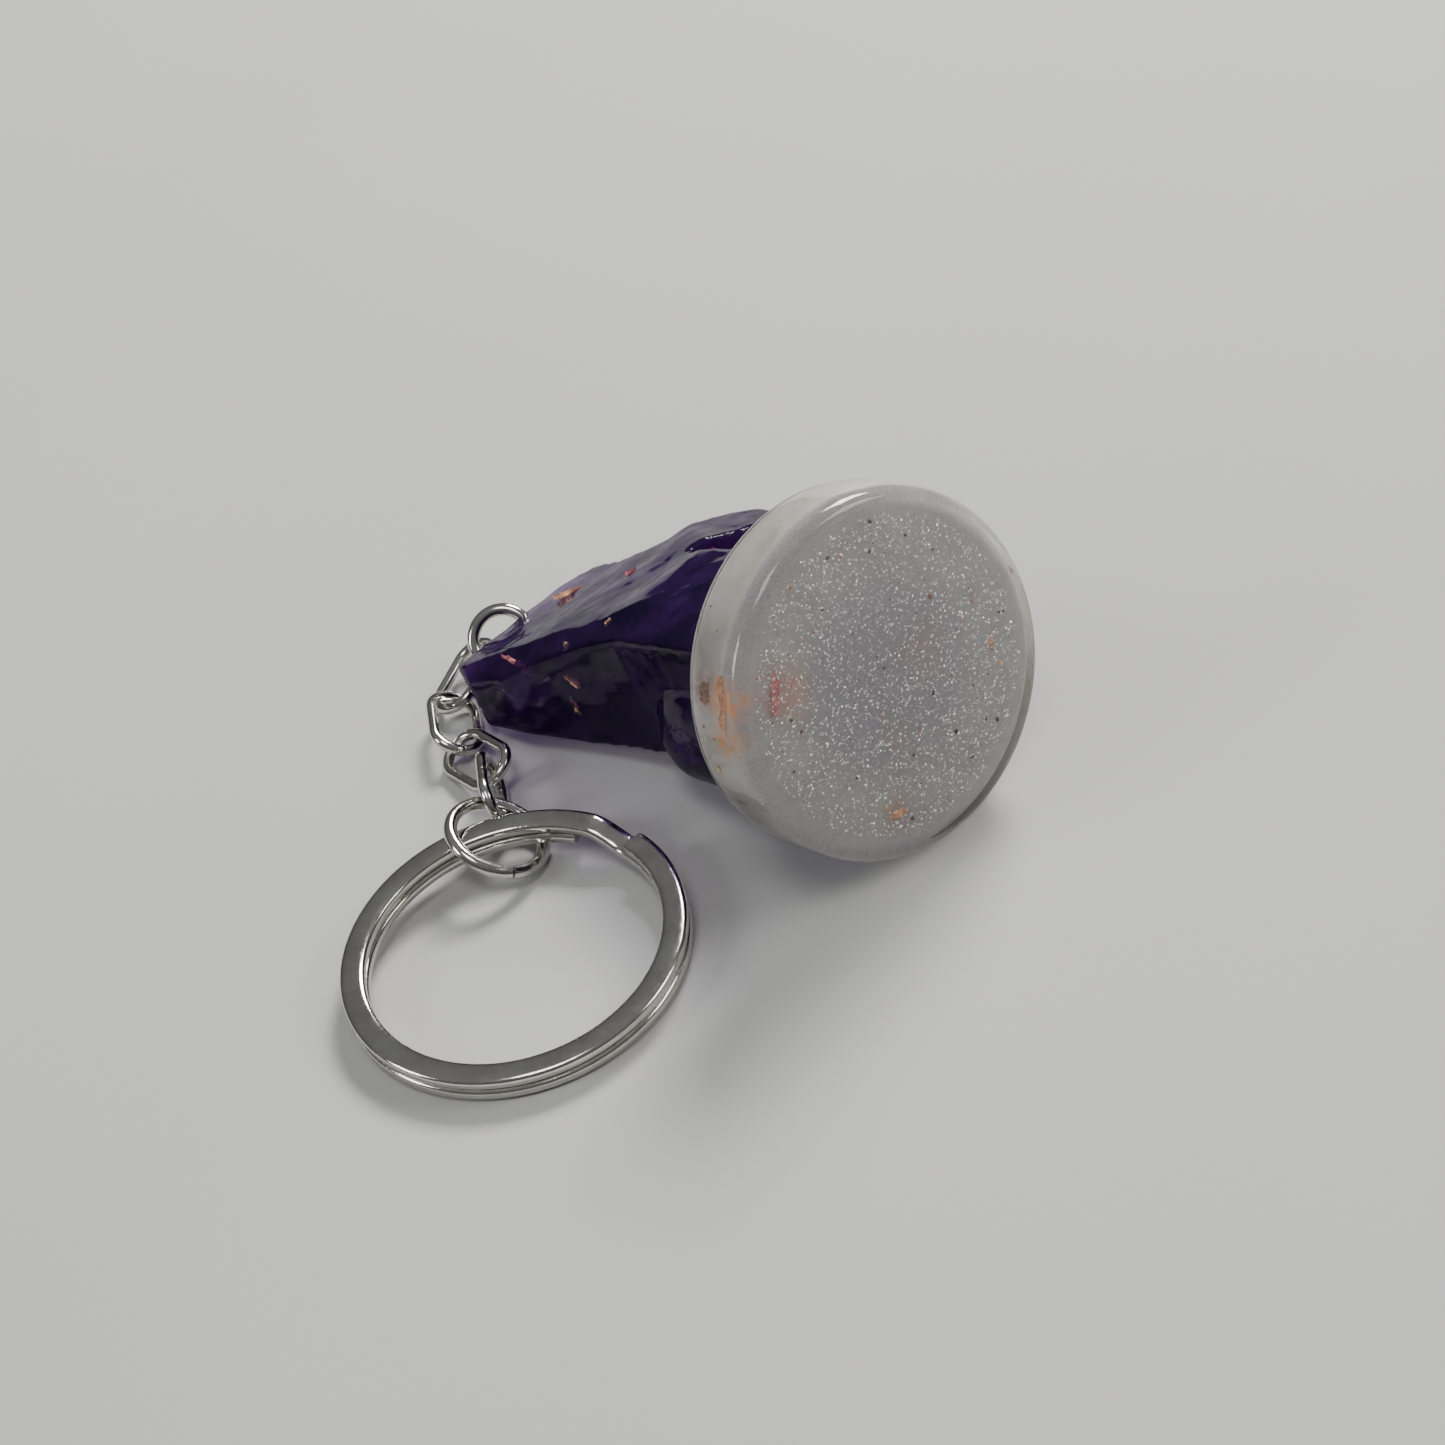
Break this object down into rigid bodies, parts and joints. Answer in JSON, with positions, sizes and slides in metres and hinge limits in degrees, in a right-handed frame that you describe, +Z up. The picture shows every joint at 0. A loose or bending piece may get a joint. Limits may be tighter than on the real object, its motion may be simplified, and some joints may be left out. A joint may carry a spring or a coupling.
{
  "type": "figurine keychain",
  "caption": "Small cast resin horse-head game piece on a glittered round foot, with a short chain and a split key ring.",
  "frame": {"origin": "middle of the object's footprint, on the surface it lies on", "axes": "+Z up as it lies on a table; +X to the side, -Y towards the viewer, whom the foot's flat face looks at"},
  "size_m": [0.0522, 0.0478, 0.0254],
  "materials": {
    "violet_resin": "dark violet transparent cast resin, glossy",
    "pearl_resin": "pearl white translucent cast resin",
    "clear_resin": "clear cast resin, glossy",
    "silver_glitter": "fine silver glitter set in resin",
    "copper_foil": "crumpled copper leaf",
    "nickel_plate": "nickel-plated steel wire"
  },
  "bodies": {
    "figure": {"base_disc": "pearl_resin", "clear_face": "clear_resin", "glitter_layer": "silver_glitter", "horse_head": "violet_resin", "head_foil_1": "copper_foil", "head_foil_2": "copper_foil", "head_foil_3": "copper_foil", "head_foil_4": "copper_foil", "head_foil_5": "copper_foil", "head_foil_6": "copper_foil", "head_foil_7": "copper_foil", "head_foil_8": "copper_foil", "base_foil_1": "copper_foil", "base_foil_2": "copper_foil", "base_foil_3": "copper_foil", "base_foil_4": "copper_foil", "base_foil_5": "copper_foil", "base_foil_6": "copper_foil", "screw_eye": "nickel_plate"},
    "link_1": {"chain_link_1": "nickel_plate"},
    "link_2": {"chain_link_2": "nickel_plate"},
    "link_3": {"chain_link_3": "nickel_plate"},
    "link_4": {"chain_link_4": "nickel_plate"},
    "jump_ring": {"jump_ring": "nickel_plate"},
    "split_ring": {"split_ring": "nickel_plate"}
  },
  "joints": [
    {"name": "link_1_swing", "type": "hinge", "parent": "figure", "child": "link_1", "pos_m": [-0.01215, 0.01974, 0.00195], "axis": [-0.4763, 0.6428, 0.6], "range_deg": [-18, 2]},
    {"name": "link_2_swing", "type": "hinge", "parent": "link_1", "child": "link_2", "pos_m": [-0.01565, 0.01651, 0.00096], "axis": [-0.6871, 0.6592, -0.3056], "range_deg": [-10, 60]},
    {"name": "link_3_swing", "type": "hinge", "parent": "link_2", "child": "link_3", "pos_m": [-0.01523, 0.01085, 0.00141], "axis": [0.8409, -0.0252, -0.5406], "range_deg": [-14, 60]},
    {"name": "link_4_swing", "type": "hinge", "parent": "link_3", "child": "link_4", "pos_m": [-0.01254, 0.00626, 0.002], "axis": [0.7798, 0.497, 0.3807], "range_deg": [-60, 48]},
    {"name": "jump_ring_swing", "type": "hinge", "parent": "link_4", "child": "jump_ring", "pos_m": [-0.01327, 0.00251, 0.00246], "axis": [-0.8521, 0.0606, 0.5199], "range_deg": [-30, 26]},
    {"name": "split_ring_swing", "type": "hinge", "parent": "jump_ring", "child": "split_ring", "pos_m": [-0.01358, -0.00045, 0.0023], "axis": [-0.9996, 0.0276, 0.0015], "range_deg": [-12, 18]}
  ]
}
